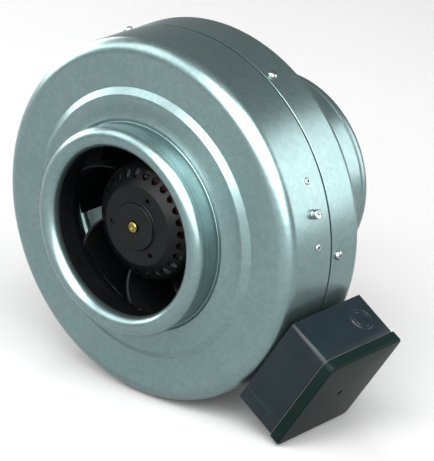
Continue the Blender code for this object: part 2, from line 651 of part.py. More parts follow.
def make_lid():
    low = LID_TOP_X - LID_HEIGHT
    side = LID_HALF_WIDTH
    outer = rounded_rectangle(LID_FRONT_Y, LID_REAR_Y, -side, side, 5.0)
    lid = prism("terminal_box_lid", outer, low, LID_TOP_X, BOX_PLASTIC, 1.5)
    edge = BOX_WALL + LID_OVERHANG
    inner = rounded_rectangle(LID_FRONT_Y + edge, LID_REAR_Y - edge, -side + edge, side - edge, 2)
    hollow = place(prism("lid_hollow", inner, low - 3, LID_TOP_X - BOX_WALL), BOX_ANGLE)
    boss = pin("lid_boss", PILLAR_R + 0.5, low + GAP, LID_TOP_X - 2, 12)
    seat = low + 2.5
    drill = LID_DRILL_R
    bore = turned("lid_drill", [(low - 3, 0), (low - 3, drill), (seat, drill), (seat, drill + 1),
                                (LID_TOP_X + 3, drill + 1), (LID_TOP_X + 3, 0)], None, 14, "X")
    cut(lid, hollow)
    combine(lid, place(boss, BOX_ANGLE, 0, BOX_MID_Y), "UNION")
    cut(lid, place(bore, BOX_ANGLE, 0, BOX_MID_Y))
    place(lid, BOX_ANGLE)
    under = seat + GAP
    screw = [(low - 18, 0), (low - 17, 1.5), (under, 1.5), (under, 2.5), (under + 2.6, 2.5)]
    screw += [(under + 3.0, 2.1), (under + 3.0, 0)]
    place(turned("lid_screw", screw, ZINC_SCREW, 12, "X"), BOX_ANGLE, 0, BOX_MID_Y)


def make_box_contents():
    floor = BOX_FLOOR_X + GAP
    outline = rounded_rectangle(-30, 28, -40, -18, 1.0, 1)
    block = prism("terminal_block", outline, floor, floor + 14, WHITE_PLASTIC)
    bm = bmesh.new()
    for i in range(5):
        hole = turned_mesh([(floor + 9, 0), (floor + 9, 2.4), (floor + 20, 2.4), (floor + 20, 0)],
                           10, "X")
        merge(bm, hole, Matrix.Translation((0, -24 + 11.5 * i, -29)))
    cut(block, place(add_object("terminal_drills", bm), BOX_ANGLE))
    place(block, BOX_ANGLE)
    can = [(-40, 0), (-40, 12), (-38.5, 14), (14, 14), (15.5, 12), (15.5, 4), (20, 4), (20, 0)]
    place(turned("capacitor", can, ALUMINIUM, 20), BOX_ANGLE, floor + 14.2, 0, 33)
    screw = [(163, 0), (164, 1.7), (floor, 1.7), (floor, 3.6), (floor + 1.8, 3.2)]
    screw += [(floor + 2.2, 1), (floor + 2.2, 0)]
    for i, y in enumerate(BOX_SCREW_YS):
        place(turned(f"box_screw_{i + 1}", screw, ZINC_SCREW, 12, "X"), BOX_ANGLE, 0, y)
    earth = [(174.2, 0), (174.2, 1.7), (floor, 1.7), (floor, 4.2), (floor + 2.4, 4.2)]
    earth += [(floor + 3.0, 3.6), (floor + 3.0, 0)]
    made = turned("earth_screw", earth, BRASS, 12, "X")
    place(made, BOX_ANGLE, 0, EARTH_Y, EARTH_SIDE)


def make_grommet():
    low, high = DRUM_INNER_R - GAP, DRUM_R + 0.35
    bore = LEAD_R + 0.35
    flange = GROMMET_FLANGE_R
    outline = [(low - 2, bore), (low - 2, flange - 0.7), (low, flange), (low, GROMMET_NECK_R)]
    outline += [(high, GROMMET_NECK_R), (high, flange), (high + 2, flange - 0.7)]
    outline += [(high + 2, bore)]
    place(turned("cable_grommet", outline, RUBBER, 16, "X"), BOX_ANGLE, 0, LEAD_HOLE_Y)


def smooth_route(points, steps):
    """A Catmull-Rom curve through the points."""
    ends = [2 * points[0] - points[1]] + points + [2 * points[-1] - points[-2]]
    route = []
    for p0, p1, p2, p3 in zip(ends, ends[1:], ends[2:], ends[3:]):
        for i in range(steps):
            t = i / steps
            route.append(0.5 * ((2 * p1) + (p2 - p0) * t + (2 * p0 - 5 * p1 + 4 * p2 - p3) * t ** 2
                                + (3 * p1 - p0 - 3 * p2 + p3) * t ** 3))
    return route + [points[-1]]


def make_motor_lead():
    """The lead runs from the motor's rear face, across the passage, into the terminal box."""
    spots = [(28, 5.4, 0), (29, 10, 0), (36, 14, 0), (60, 15, 0), (100, 15, 0), (135, 14, 0),
             (152, 6, 0), (156, -10, 0), (159, -21, 0), (166, -25, 0), (174, -25, 0),
             (182, -25, -1), (187, -25, -7), (188, -25, -14)]
    route = smooth_route([Vector(spot) * MM for spot in spots], 3)
    curve = bpy.data.curves.new("motor_lead", "CURVE")
    curve.dimensions = "3D"
    curve.bevel_depth = LEAD_R * MM
    curve.bevel_resolution = 2
    curve.use_fill_caps = True
    spline = curve.splines.new("POLY")
    spline.points.add(len(route) - 1)
    for point, spot in zip(spline.points, route):
        point.co = (*spot, 1.0)
    curve.materials.append(material("motor_lead", CABLE_GREY))
    lead = bpy.data.objects.new("motor_lead", curve)
    bpy.context.scene.collection.objects.link(lead)
    place(lead, BOX_ANGLE)


def main():
    clear_scene()
    make_casing()
    make_inlet_nozzle()
    make_seam_screws()
    make_support_arms()
    make_support_fixings()
    make_motor_screws()
    make_stator()
    make_bearings()
    make_rotor_shell()
    make_rotor_core()
    make_shaft()
    make_impeller()
    make_gasket(make_box_base())
    make_lid()
    make_box_contents()
    make_grommet()
    make_motor_lead()


main()
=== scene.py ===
import json
import math

import bmesh
import bpy
from mathutils import Matrix, Vector


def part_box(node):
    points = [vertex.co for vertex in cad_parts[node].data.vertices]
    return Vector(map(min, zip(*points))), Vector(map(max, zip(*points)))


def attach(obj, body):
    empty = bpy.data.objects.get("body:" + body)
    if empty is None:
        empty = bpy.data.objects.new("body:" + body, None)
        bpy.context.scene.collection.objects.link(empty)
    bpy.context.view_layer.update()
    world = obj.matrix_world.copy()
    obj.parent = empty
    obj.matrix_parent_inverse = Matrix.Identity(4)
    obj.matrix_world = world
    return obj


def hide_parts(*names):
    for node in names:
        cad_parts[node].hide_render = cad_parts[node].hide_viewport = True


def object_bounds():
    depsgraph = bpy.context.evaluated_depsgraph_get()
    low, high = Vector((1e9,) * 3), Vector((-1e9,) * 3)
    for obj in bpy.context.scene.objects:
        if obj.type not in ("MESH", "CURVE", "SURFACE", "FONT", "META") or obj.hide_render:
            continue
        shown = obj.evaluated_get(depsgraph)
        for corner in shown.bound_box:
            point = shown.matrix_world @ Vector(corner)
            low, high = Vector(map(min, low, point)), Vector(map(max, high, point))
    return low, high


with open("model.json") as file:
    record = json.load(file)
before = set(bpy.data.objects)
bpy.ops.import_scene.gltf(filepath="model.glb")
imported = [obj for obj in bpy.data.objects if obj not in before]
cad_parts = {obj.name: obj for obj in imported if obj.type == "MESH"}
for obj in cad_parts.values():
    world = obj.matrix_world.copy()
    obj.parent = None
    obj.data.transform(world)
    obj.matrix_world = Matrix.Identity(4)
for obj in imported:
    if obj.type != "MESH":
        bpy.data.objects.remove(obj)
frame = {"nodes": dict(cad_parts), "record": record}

# Lengths are in millimetres and angles in degrees; the mesh builders turn them into metres.
# Angles about the duct axis are counted from +X towards +Z.
MM = 0.001
CAD_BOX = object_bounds()


def span(node, axis):
    """A node's lowest and highest coordinate along an axis, in millimetres."""
    low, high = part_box(node)
    return low[axis] / MM, high[axis] / MM


def reach(node):
    """The largest distance of a round node from the duct axis."""
    return max(abs(v) for v in span(node, 0) + span(node, 2))


def where(node):
    """(angle about the duct axis, y) of the middle of a node's box."""
    low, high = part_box(node)
    mid = [(a + b) / 2 / MM for a, b in zip(low, high)]
    return math.degrees(math.atan2(mid[2], mid[0])), mid[1]


def mount(name):
    """A mount of the part's record."""
    for entry in frame["record"]["mounts"]:
        if entry["name"] == name:
            return entry
    raise KeyError(name)


# ---------------------------------------------------------------- driving sizes

SHEET = 1.0                    # thickness of the casing
GAP = 0.3                      # clearance between neighbouring pieces
ROUND = 240                    # segments of the large turned pieces

# Casing
DRUM_R = reach("rear_casing")
INLET_Y = span("front_casing", 1)[0]
LAP_Y = span("front_casing", 1)[1]
OUTLET_Y = span("rear_casing", 1)[1]
SPIGOT_R = 98.5
SPIGOT_ROOT_R = 97.0
LIP_R = 9.25
FRONT_FACE_Y = mount("inlet_face")["pos_m"][1] / MM
FRONT_ROOT_Y = -69.0
FRONT_STEP_Y = -65.2
STEP_INNER_R = 121.6
STEP_OUTER_R = 128.4
FRONT_ROUND_R = 14.0
REAR_ROUND_R = 10.0
REAR_EDGE_Y = 33.0
REAR_CONE_DEG = 50.0
OUTLET_ROOT_Y = 99.0

# Fasteners on the drum, and the holes that they and the motor lead go through
DRILL_SPAN = (DRUM_R - 6, DRUM_R + 4)
WALL_HOLES = {"seam_screw_": (6, 2.1), "support_bolt_": (3, 2.7),
              "support_rivet_": (6, 1.8), "box_screw_": (2, 2.0)}
LEAD_HOLE_Y = -25.0
LEAD_HOLE_R = 5.6
GROMMET_HOLE_R = 7.8
HEAD_SEAT = DRUM_R + 0.1
SEAM_HEAD_R = 4.5
SEAM_HEAD_HEIGHT = 3.1
BOLT_FLANGE_R = 4.9
BOLT_HEAD_R = 4.5
BOLT_HEAD_HEIGHT = 5.6
BOLT_SHANK_R = 2.5
RIVET_HEAD_R = 3.4
RIVET_SHANK_R = 1.5
RIVET_HOLE_R = 1.3

# Nozzle, rotor and impeller
NOZZLE_R = 82.3
NOZZLE_RIM_R = 95.7
NOZZLE_WALL = 1.5
VENTS = 26
VENT_R = 3.8
VENT_RING_R = 48.0
VENT_TURN = 3.0
FACE_HOLES = 3
FACE_HOLE_R = 2.3
FACE_HOLE_RING_R = 30.0
FACE_HOLE_TURN = 65.5
EYE_R = 84.8
IMPELLER_R = 110.5
COLLAR_R = 56.4
SHROUD_THICKNESS = 1.8
BLADES = 7
BLADE_START = -11.7
BLADE_SWEEP = (13.8, 38.5)     # the angle is a * t + b * t ** 2 from root to tip
BLADE_ROOT_R = 60.0
BLADE_TIP_R = IMPELLER_R - 1.5
BLADE_ROOT_Y = -46.5
BLADE_EYE_Y = -61.0
BLADE_THICKNESS = 2.4
BLADE_STATIONS = 30

# Terminal box, built as if its lid faced +X and then turned about the duct axis
BOX_AXIS = Vector(mount("lid_face")["axis"])
BOX_ANGLE = math.degrees(math.atan2(BOX_AXIS.z, BOX_AXIS.x))
LID_TOP_X = BOX_AXIS.dot(Vector(mount("lid_face")["pos_m"])) / MM
LID_FRONT_Y, LID_REAR_Y = span("terminal_box_lid", 1)
LID_HEIGHT = 11.0
LID_HALF_WIDTH = 56.0
LID_OVERHANG = 1.8
LID_CORNER_R = 7.0
LID_BORE_R = 1.9
LID_HEAD_R = 2.9
BOX_WALL = 2.5
BOX_CORNER_R = 5.0
BOX_INNER_CORNER_R = 2.0
BOX_BACK_X = DRUM_R + GAP
BOX_FLOOR_X = 176.0
BOX_TOP_X = LID_TOP_X - LID_HEIGHT - 2 * GAP - 1.0
BOX_MID_Y = (LID_FRONT_Y + LID_REAR_Y) / 2
BOX_DRILL_SPAN = (160, 180)
BOX_SCREW_DRILL_R = 2.2
EARTH_DRILL = (33.0, -28.0, 2.1)       # y, z and radius
FRONT_LINE_Z = -36.0
FRONT_LINE_END_X = 207.5
KNOCKOUT_X = 195.0
KNOCKOUT_Y = mount("cable_entry")["pos_m"][1] / MM
KNOCKOUT_R = 12.6
SEAL_INSET = 0.35
SEAL_WIDTH = 2.0
SEAL_CORNER_R = 4.7
SEAL_INNER_CORNER_R = 2.8

# Stage: softboxes are (name, azimuth, elevation, distance, size, radiance), in degrees and
# metres; azimuth 0 is in front of the inlet and 90 on its right
SOFTBOXES = (
    ("key_softbox", 22, 55, 3.2, (1.5, 1.4), 20.0),
    ("front_softbox", 14, 27, 3.4, (3.4, 2.2), 9.5),
    ("low_softbox", 60, 10, 3.4, (2.4, 1.0), 9.0),
    ("right_softbox", 70, 45, 3.0, (1.8, 2.4), 14.0),
    ("left_softbox", -94, 14, 2.6, (2.8, 1.0), 10.0),
    ("upper_left_softbox", -50, 40, 3.0, (1.8, 1.8), 5.0),
    ("rear_right_softbox", 138, 14, 2.4, (1.6, 1.8), 5.0),
)
FLOOR_SPOT_AT = (-1.1, 1.5, 2.2)
FLOOR_SPOT_AIM = (-0.5, 0.6, 0.0)
FLOOR_SPOT_POWER = 180.0
FLOOR_SPOT_DEG = 46.0
FLOOR_HALF = 6.0
SKY_FRONT, SKY_BACK = 0.5, 0.2
CAMERA_AZIMUTH = 40.34
CAMERA_ELEVATION = 19.70
CAMERA_ROLL = 2.68             # degrees the view is turned about the duct axis
CAMERA_DISTANCE = 3.0
CAMERA_SHIFT = (0.0284, -0.0219)
CAMERA_LENS = 253.3
CAMERA_SENSOR = 36.0


# ---------------------------------------------------------------- outlines

def arc(centre, radius, start, end, steps):
    """Points (along, radius) on an arc; 0 points away from the axis, 90 along it."""
    points = []
    for i in range(steps + 1):
        a = math.radians(start + (end - start) * i / steps)
        points.append((centre[0] + radius * math.sin(a), centre[1] + radius * math.cos(a)))
    return points


def rounded(corners, step=9.0):
    """An open path through (along, radius, fillet) corners, with the fillets as arcs."""
    points = [tuple(corners[0][:2])]
    for before, corner, after in zip(corners, corners[1:], corners[2:]):
        a, b, c = (Vector(p[:2]) for p in (before, corner, after))
        into, out = (b - a).normalized(), (c - b).normalized()
        turn = into.angle(out, 0.0)
        if corner[2] <= 0 or turn < 0.01:
            points.append(tuple(b))
            continue
        radius = corner[2]
        back = radius * math.tan(turn / 2)
        limit = 0.49 * min((b - a).length, (c - b).length)
        if back > limit:
            radius *= limit / back
            back = limit
        side = 1 if into.x * out.y - into.y * out.x > 0 else -1
        centre = b - into * back + Vector((-into.y, into.x)) * side * radius
        begin = b - into * back - centre
        steps = max(2, math.ceil(math.degrees(turn) / step))
        for i in range(steps + 1):
            t = side * turn * i / steps
            spoke = Vector((begin.x * math.cos(t) - begin.y * math.sin(t),
                            begin.x * math.sin(t) + begin.y * math.cos(t)))
            points.append(tuple(centre + spoke))
    points.append(tuple(corners[-1][:2]))
    return points


def offset(path, distance):
    """A copy of an open path, moved sideways: towards the axis where the path runs along it."""
    moved = []
    for i, point in enumerate(path):
        before = path[max(i - 1, 0)]
        after = path[min(i + 1, len(path) - 1)]
        normals = []
        for a, b in ((before, point), (point, after)):
            step = Vector((b[0] - a[0], b[1] - a[1]))
            if step.length > 1e-6:
                normals.append(Vector((step.y, -step.x)).normalized())
        mean = sum(normals, Vector((0, 0))).normalized()
        far = distance / max(mean.dot(normals[0]), 0.5)
        moved.append((point[0] + mean.x * far, point[1] + mean.y * far))
    return moved


def sheet(path, thickness):
    """Closed outline of a sheet whose outer side is the path."""
    return path + offset(path, thickness)[::-1]


def rounded_rectangle(y0, y1, z0, z1, radius, steps=8):
    """Points (y, z) round a rectangle with rounded corners."""
    points = []
    corners = ((y1 - radius, z1 - radius, 0), (y0 + radius, z1 - radius, 90),
               (y0 + radius, z0 + radius, 180), (y1 - radius, z0 + radius, 270))
    for cy, cz, begin in corners:
        for i in range(steps + 1):
            a = math.radians(begin + 90.0 * i / steps)
            points.append((cy + radius * math.cos(a), cz + radius * math.sin(a)))
    return points


# ---------------------------------------------------------------- meshes

def lathe(outline, segments=32, axis="Y"):
    """A closed outline of (along, radius) points turned about an axis through the origin."""
    bm = bmesh.new()
    rings = []
    for along, radius in outline:
        count = 1 if radius < 1e-6 else segments
        ring = []
        for k in range(count):
            a = 2 * math.pi * k / segments
            spot = (radius * math.cos(a), along, radius * math.sin(a))
            if axis == "X":
                spot = (along, radius * math.cos(a), radius * math.sin(a))
            ring.append(bm.verts.new(spot))
        rings.append(ring)
    for near, far in zip(rings, rings[1:] + rings[:1]):
        for k in range(segments):
            corners = [near[k % len(near)], near[(k + 1) % len(near)],
                       far[(k + 1) % len(far)], far[k % len(far)]]
            corners = list(dict.fromkeys(corners))
            if len(corners) > 2:
                bm.faces.new(corners)
    return bm


def prism(outline, x0, x1, bevels=(0.0, 0.0), steps=3):
    """An outline of (y, z) points extruded along X, with its x0 and x1 rims rounded."""
    bm = bmesh.new()
    face = bm.faces.new([bm.verts.new((x0, y, z)) for y, z in outline])
    grown = bmesh.ops.extrude_face_region(bm, geom=[face])
    top = [g for g in grown["geom"] if isinstance(g, bmesh.types.BMVert)]
    bmesh.ops.translate(bm, verts=top, vec=(x1 - x0, 0, 0))
    for x, width in zip((x0, x1), bevels):
        if width:
            rim = [e for e in bm.edges if all(abs(v.co.x - x) < 1e-3 for v in e.verts)]
            bmesh.ops.bevel(bm, geom=rim, offset=width, segments=steps, profile=0.5,
                            affect="EDGES")
    return bm


def block(low, high, bevel=0.0, steps=3):
    """A box between two corners, with its edges rounded."""
    bm = bmesh.new()
    bmesh.ops.create_cube(bm, size=1.0)
    size = [b - a for a, b in zip(low, high)]
    mid = [(a + b) / 2 for a, b in zip(low, high)]
    bmesh.ops.scale(bm, vec=size, verts=bm.verts)
    bmesh.ops.translate(bm, vec=mid, verts=bm.verts)
    if bevel:
        bmesh.ops.bevel(bm, geom=bm.edges[:], offset=bevel, segments=steps, profile=0.5,
                        affect="EDGES")
    return bm


def shift(bm, x=0.0, y=0.0, z=0.0, turn=0.0):
    """Move a mesh, then turn it about the duct axis."""
    bmesh.ops.translate(bm, vec=(x, y, z), verts=bm.verts)
    if turn:
        bmesh.ops.rotate(bm, verts=bm.verts, cent=(0, 0, 0),
                         matrix=Matrix.Rotation(-math.radians(turn), 3, "Y"))
    return bm


def join(parts):
    """Several meshes as one, without joining their surfaces."""
    whole = bmesh.new()
    for part in parts:
        temporary = bpy.data.meshes.new("join")
        part.to_mesh(temporary)
        part.free()
        whole.from_mesh(temporary)
        bpy.data.meshes.remove(temporary)
    return whole


def as_object(name, bm):
    """A mesh as an object in the scene, with its faces turned outwards."""
    bmesh.ops.recalc_face_normals(bm, faces=bm.faces)
    mesh = bpy.data.meshes.new(name)
    bm.to_mesh(mesh)
    bm.free()
    made = bpy.data.objects.new(name, mesh)
    bpy.context.scene.collection.objects.link(made)
    return made


def carve(bm, *steps):
    """Apply Boolean steps, each (operation, mesh), and return the result as a mesh."""
    made = as_object("carved", bm)
    tools = []
    for operation, tool in steps:
        other = as_object("tool", tool)
        tools.append(other)
        step = made.modifiers.new(operation, "BOOLEAN")
        step.operation = operation
        step.object = other
        step.solver = "EXACT"
    bpy.context.view_layer.update()
    graph = bpy.context.evaluated_depsgraph_get()
    result = bmesh.new()
    result.from_mesh(made.evaluated_get(graph).to_mesh())
    for other in [made] + tools:
        mesh = other.data
        bpy.data.objects.remove(other, do_unlink=True)
        bpy.data.meshes.remove(mesh)
    return result


def piece(name, bm, body, node, finish, sharp=32.0, angle=0.0, y=0.0):
    """Finish a mesh in millimetres as a visible piece that stands for a CAD node."""
    bmesh.ops.scale(bm, vec=(MM, MM, MM), verts=bm.verts)
    made = as_object(name, bm)
    made.data.shade_smooth()
    made.data.set_sharp_from_angle(angle=math.radians(sharp))
    turn = Matrix.Rotation(-math.radians(angle), 4, "Y")
    made.matrix_world = Matrix.Translation((0, y * MM, 0)) @ turn
    made.data.materials.append(finish)
    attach(made, body)
    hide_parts(node)


def drill(angle, y, radius, x0, x1, segments=20):
    """A cylinder that points away from the duct axis at an angle, to cut a hole with."""
    hole = lathe([(x0, 0), (x0, radius), (x1, radius), (x1, 0)], segments, "X")
    return shift(hole, 0, y, 0, angle)


# ---------------------------------------------------------------- materials

class Shader:
    """A node material in the making."""

    def __init__(self, name, roughness=0.5, metallic=0.0):
        self.material = bpy.data.materials.new(name)
        self.material.use_nodes = True
        self.tree = self.material.node_tree
        self.surface = self.tree.nodes["Principled BSDF"]
        self.surface.inputs["Roughness"].default_value = roughness
        self.surface.inputs["Metallic"].default_value = metallic
        self.place = self.add("ShaderNodeTexCoord").outputs["Object"]

    def add(self, kind, **values):
        node = self.tree.nodes.new(kind)
        for key, value in values.items():
            if key in node.inputs:
                node.inputs[key].default_value = value
            else:
                setattr(node, key, value)
        return node

    def link(self, output, socket):
        self.tree.links.new(output, socket)

    def noise(self, scale, detail=3.0, rough=0.55):
        """Noise between about 0.3 and 0.7; the scale is in features per metre."""
        spread = self.add("ShaderNodeMapping")
        spread.inputs["Scale"].default_value = (scale, scale, scale)
        self.link(self.place, spread.inputs["Vector"])
        made = self.add("ShaderNodeTexNoise")
        made.inputs["Scale"].default_value = 1.0
        made.inputs["Detail"].default_value = detail
        made.inputs["Roughness"].default_value = rough
        self.link(spread.outputs["Vector"], made.inputs["Vector"])
        return made.outputs["Fac"]

    def cells(self, scale):
        """A grey level for each crystal of a cell pattern."""
        made = self.add("ShaderNodeTexVoronoi")
        made.inputs["Scale"].default_value = scale
        self.link(self.place, made.inputs["Vector"])
        grey = self.add("ShaderNodeRGBToBW")
        self.link(made.outputs["Color"], grey.inputs["Color"])
        return grey.outputs["Val"]

    def stripes(self, scale, kind, direction, distortion=0.0):
        """Bands or rings along the duct axis."""
        made = self.add("ShaderNodeTexWave", wave_type=kind)
        setattr(made, f"{kind.lower()}_direction", direction)
        made.inputs["Scale"].default_value = scale
        made.inputs["Distortion"].default_value = distortion
        self.link(self.place, made.inputs["Vector"])
        return made.outputs["Fac"]

    def remap(self, value, low, high, to_low, to_high):
        made = self.add("ShaderNodeMapRange")
        for key, number in (("From Min", low), ("From Max", high),
                            ("To Min", to_low), ("To Max", to_high)):
            made.inputs[key].default_value = number
        self.link(value, made.inputs["Value"])
        return made.outputs["Result"]

    def spread(self, noise, to_low, to_high):
        """The usual range of a noise, brought to another range."""
        return self.remap(noise, 0.3, 0.7, to_low, to_high)

    def blend(self, factor, first, second):
        """A mix of two colours, each a tuple or another node's output."""
        made = self.add("ShaderNodeMix", data_type="RGBA")
        colours = [s for s in made.inputs if s.type == "RGBA"]
        for socket, colour in zip(colours, (first, second)):
            if isinstance(colour, tuple):
                socket.default_value = (*colour, 1.0)
            else:
                self.link(colour, socket)
        self.link(factor, made.inputs[0])
        return [s for s in made.outputs if s.type == "RGBA"][0]

    def colour(self, output):
        self.link(output, self.surface.inputs["Base Color"])

    def roughness(self, output):
        self.link(output, self.surface.inputs["Roughness"])

    def bump(self, height, distance, strength=1.0, under=None):
        """Bump of a height map; the distance is in millimetres."""
        made = self.add("ShaderNodeBump")
        made.inputs["Strength"].default_value = strength
        made.inputs["Distance"].default_value = distance * MM
        self.link(height, made.inputs["Height"])
        if under:
            self.link(under, made.inputs["Normal"])
        self.link(made.outputs["Normal"], self.surface.inputs["Normal"])
        return made.outputs["Normal"]


def galvanised_sheet():
    """Zinc-coated sheet: fine mottled grain, faint crystals, and slow waves from pressing."""
    made = Shader("galvanised_sheet", 0.34, 0.94)
    grain = made.noise(900, 2.0, 0.6)
    crystals = made.cells(240)
    clouds = made.noise(14, 3.0)
    fine = made.blend(made.spread(grain, 0.0, 1.0), (0.122, 0.180, 0.180),
                      (0.155, 0.216, 0.216))
    crystal = made.blend(made.remap(crystals, 0.2, 0.8, 0.0, 0.22), fine, (0.22, 0.30, 0.305))
    made.colour(made.blend(made.remap(clouds, 0.35, 0.7, 0.0, 0.25), crystal, (0.10, 0.16, 0.165)))
    made.roughness(made.spread(grain, 0.28, 0.36))
    slow = made.bump(clouds, 0.5, 0.2)
    made.bump(grain, 0.008, 0.2, slow)
    return made.material


def plated_steel(name, first, second, rough=(0.18, 0.34)):
    """Bright plated or machined steel with fine turning marks."""
    made = Shader(name, 0.25, 1.0)
    marks = made.noise(1500, 3.0, 0.6)
    patches = made.noise(260, 2.0)
    made.colour(made.blend(made.spread(patches, 0.0, 1.0), first, second))
    made.roughness(made.spread(marks, *rough))
    made.bump(marks, 0.02, 0.5)
    return made.material


def moulded_plastic(name, first, second, rough, grain=0.03, scale=1400, gloss=0.5):
    """Moulded plastic: near-uniform colour, fine leathery grain, uneven gloss."""
    made = Shader(name, rough[0], 0.0)
    made.surface.inputs["Specular IOR Level"].default_value = gloss
    fine = made.noise(scale, 3.0, 0.6)
    clouds = made.noise(30, 3.0)
    made.colour(made.blend(made.spread(clouds, 0.0, 1.0), first, second))
    made.roughness(made.spread(fine, *rough))
    made.bump(fine, grain, 0.5)
    return made.material


def painted_rotor():
    """Satin black paint on a drawn steel can, slightly rubbed."""
    made = Shader("painted_rotor", 0.4, 0.0)
    made.surface.inputs["Specular IOR Level"].default_value = 0.12
    peel = made.noise(500, 2.0)
    scuffs = made.noise(60, 5.0, 0.7)
    made.colour(made.blend(made.remap(scuffs, 0.5, 0.75, 0.0, 0.5),
                           (0.0016, 0.0021, 0.0022), (0.005, 0.0058, 0.006)))
    made.roughness(made.spread(scuffs, 0.34, 0.50))
    made.bump(peel, 0.05, 0.4)
    return made.material


def laminations():
    """A stack of thin steel sheets, seen as fine lines across the duct axis. Its colours are
    painted shade: far darker than bare steel, for the shade inside the motor seen through the
    rotor's vents.
    """
    made = Shader("laminations", 0.45, 1.0)
    wave = made.stripes(500.0, "BANDS", "Y")
    # painted shade: the steel greys are darkened to stand for the shade inside the motor
    made.colour(made.blend(wave, (0.06, 0.06, 0.065), (0.16, 0.16, 0.165)))
    made.roughness(made.spread(made.noise(300), 0.35, 0.6))
    made.bump(wave, 0.1, 0.5)
    return made.material


def copper_winding():
    """Enamelled wire, with the strands as rings about the duct axis. Its colours are painted
    shade: far darker than copper, for the shade inside the motor seen through the rotor's vents.
    """
    made = Shader("copper_winding", 0.3, 0.9)
    wave = made.stripes(320.0, "RINGS", "Y", 1.5)
    # painted shade: the copper tones are darkened to stand for the shade inside the motor
    made.colour(made.blend(wave, (0.03, 0.009, 0.004), (0.11, 0.035, 0.014)))
    made.roughness(made.spread(made.noise(400), 0.25, 0.45))
    made.bump(wave, 0.3, 0.6)
    return made.material


def cast_aluminium():
    """Gritty die-cast metal."""
    made = Shader("cast_aluminium", 0.5, 1.0)
    grit = made.noise(900, 3.0, 0.65)
    clouds = made.noise(40, 3.0)
    made.colour(made.blend(made.spread(clouds, 0.0, 1.0),
                           (0.42, 0.43, 0.44), (0.58, 0.59, 0.60)))
    made.roughness(made.spread(grit, 0.42, 0.62))
    made.bump(grit, 0.10, 0.6)
    return made.material


GALVANISED = galvanised_sheet()
ZINC = plated_steel("zinc_plating", (0.22, 0.26, 0.26), (0.34, 0.38, 0.37))
STEEL = plated_steel("machined_steel", (0.46, 0.48, 0.49), (0.60, 0.62, 0.62))
BRASS = plated_steel("brass", (0.09, 0.075, 0.015), (0.24, 0.20, 0.055), (0.15, 0.32))
ALUMINIUM = plated_steel("drawn_aluminium", (0.26, 0.31, 0.31), (0.36, 0.41, 0.41), (0.22, 0.4))
CAST = cast_aluminium()
BLACK = moulded_plastic("black_plastic", (0.0012, 0.0015, 0.0016), (0.0026, 0.0030, 0.0032),
                        (0.26, 0.36), 0.02, 900, 0.08)
BOX_PLASTIC = moulded_plastic("terminal_box_plastic", (0.0035, 0.0065, 0.0085),
                              (0.0055, 0.0090, 0.0110), (0.18, 0.26), 0.015, 1600, 0.11)
# The lid plastic is greener than the box plastic, and darker as painted shade for its
# downward-facing face.
LID_PLASTIC_SHADED = moulded_plastic("lid_plastic_painted_shade", (0.0022, 0.0055, 0.0048), (0.0035, 0.0075, 0.0065),
                              (0.17, 0.24), 0.012, 1600, 0.02)
ROTOR_PAINT = painted_rotor()
LAMINATED = laminations()
COPPER = copper_winding()
RUBBER = moulded_plastic("rubber", (0.010, 0.010, 0.011), (0.018, 0.018, 0.019), (0.6, 0.8), 0.05)
WHITE = moulded_plastic("white_plastic", (0.55, 0.55, 0.51), (0.64, 0.64, 0.60), (0.3, 0.45))
SHEATH = moulded_plastic("cable_sheath", (0.030, 0.030, 0.033), (0.045, 0.045, 0.048),
                         (0.4, 0.55), 0.04)


# ---------------------------------------------------------------- casing

def wall_holes(*prefixes):
    """Clearance holes in the drum for fasteners of these kinds."""
    cutters = []
    for prefix in prefixes:
        count, radius = WALL_HOLES[prefix]
        for i in range(count):
            angle, y = where(f"{prefix}{i + 1}")
            cutters.append(drill(angle, y, radius, *DRILL_SPAN))
    return cutters


def make_front_casing():
    """The inlet half: rolled lip, spigot, stepped face, rounded shoulder and joggled lap."""
    lip = (INLET_Y + LIP_R, SPIGOT_R - LIP_R)
    path = arc(lip, LIP_R, -205, 24, 26)
    crease = path.pop()
    shoulder = FRONT_FACE_Y + FRONT_ROUND_R
    lap_r = DRUM_R - SHEET - GAP
    path += rounded([
        (crease[0], crease[1], 0), (crease[0] + 1.0, SPIGOT_ROOT_R + 0.9, 1.2),
        (FRONT_ROOT_Y + 1.2, SPIGOT_ROOT_R + 0.2, 0.8),
        (FRONT_ROOT_Y - 0.4, SPIGOT_ROOT_R + 3.4, 2.4),
        (-68.4, 103.0, 8.0), (-67.2, 107.0, 12.0), (-66.1, 112.0, 16.0), (-65.4, 117.0, 16.0),
        (FRONT_STEP_Y, STEP_INNER_R, 2.6), (FRONT_FACE_Y, STEP_OUTER_R, 2.2),
        (FRONT_FACE_Y, DRUM_R - FRONT_ROUND_R - 1, 0)])
    path += arc((shoulder, DRUM_R - FRONT_ROUND_R), FRONT_ROUND_R, -90, 0, 14)
    path += rounded([(shoulder + 1, DRUM_R, 0), (-1.9, DRUM_R, 0.5), (-0.7, lap_r, 0.6),
                     (LAP_Y, lap_r, 0)])
    body = lathe(sheet(path, SHEET), ROUND)
    cutters = wall_holes("seam_screw_", "support_bolt_", "support_rivet_", "box_screw_")
    cutters.append(drill(BOX_ANGLE, LEAD_HOLE_Y, LEAD_HOLE_R, *DRILL_SPAN))
    carved = carve(body, ("DIFFERENCE", join(cutters)))
    piece("front_casing_shell", carved, "casing", "front_casing", GALVANISED, 28)


